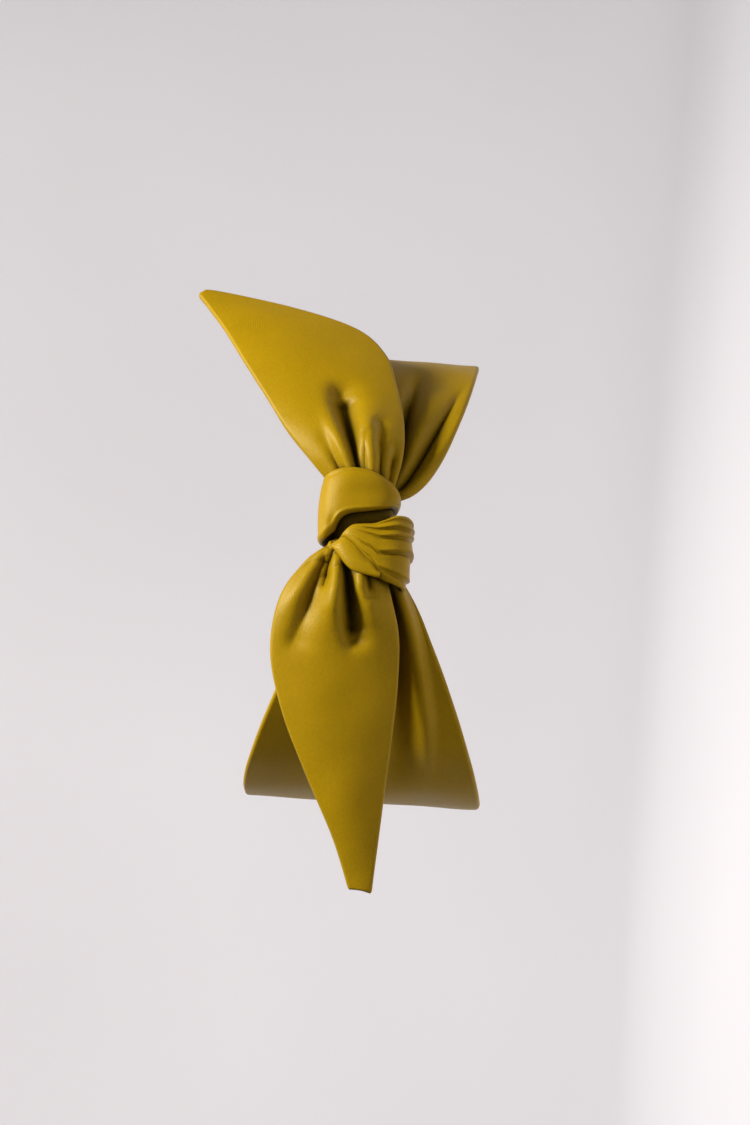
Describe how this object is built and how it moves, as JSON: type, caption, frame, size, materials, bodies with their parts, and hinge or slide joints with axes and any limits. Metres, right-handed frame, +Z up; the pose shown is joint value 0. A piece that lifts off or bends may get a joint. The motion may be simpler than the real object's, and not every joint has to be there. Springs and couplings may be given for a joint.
{
  "type": "bow tie",
  "caption": "Pre-tied satin bow tie: a knot, two pointed blades and two wide gathered wings on a neck loop with a slide adjuster, hook and eye.",
  "frame": {"origin": "on the neck's axis, at the middle of the band's height, at the centre of the neck loop", "axes": "+Z up along the neck, the bow spreads along X, the knot faces -Y"},
  "size_m": [0.1813, 0.1274, 0.0958],
  "materials": {
    "satin": "soft satin, mustard gold",
    "satin_back": "soft satin, mustard gold, shaded side",
    "interlining": "stiff woven canvas, matt",
    "thread": "polyester sewing thread",
    "hardware": "polished nickel"
  },
  "bodies": {
    "bow_and_left_strap": {"knot_upper_band": "satin", "knot_lower_wrap": "satin", "knot_tail_fold": "satin", "knot_core": "satin_back", "knot_stitches": "thread", "wing_right_outer": "satin", "wing_right_interlining": "interlining", "wing_right_inner": "satin_back", "wing_left_outer": "satin", "wing_left_interlining": "interlining", "wing_left_inner": "satin_back", "strap_left": "satin", "strap_left_return": "satin_back", "neck_hook": "hardware"},
    "right_blade": {"blade_right_front": "satin", "blade_right_interlining": "interlining", "blade_right_back": "satin_back"},
    "left_blade": {"blade_left_front": "satin", "blade_left_interlining": "interlining", "blade_left_back": "satin_back"},
    "right_strap": {"strap_right": "satin", "neck_eye": "hardware", "eye_tab": "satin_back", "bar_tack_right": "thread"},
    "slide": {"adjuster_slide": "hardware", "bar_tack_left": "thread"}
  },
  "joints": [
    {"name": "right_blade_lift", "type": "hinge", "parent": "bow_and_left_strap", "child": "right_blade", "pos_m": [0.0187, -0.0638, 0], "axis": [0, 0, 1], "range_deg": [-55, 0]},
    {"name": "left_blade_lift", "type": "hinge", "parent": "bow_and_left_strap", "child": "left_blade", "pos_m": [-0.016, -0.0638, 0.0003], "axis": [0.4701, 0, 0.8826], "range_deg": [0, 55], "stiffness_Nm_per_rad": 0.004},
    {"name": "neck_loop_opening", "type": "hinge", "parent": "bow_and_left_strap", "child": "right_strap", "pos_m": [0.05654, 0.038, 0], "axis": [0, 0, 1], "range_deg": [-70, 0]},
    {"name": "size_adjustment", "type": "slide", "parent": "bow_and_left_strap", "child": "slide", "axis": [1, 0, 0], "range_m": [-0.012, 0], "deforming": ["strap_left_return"]}
  ]
}
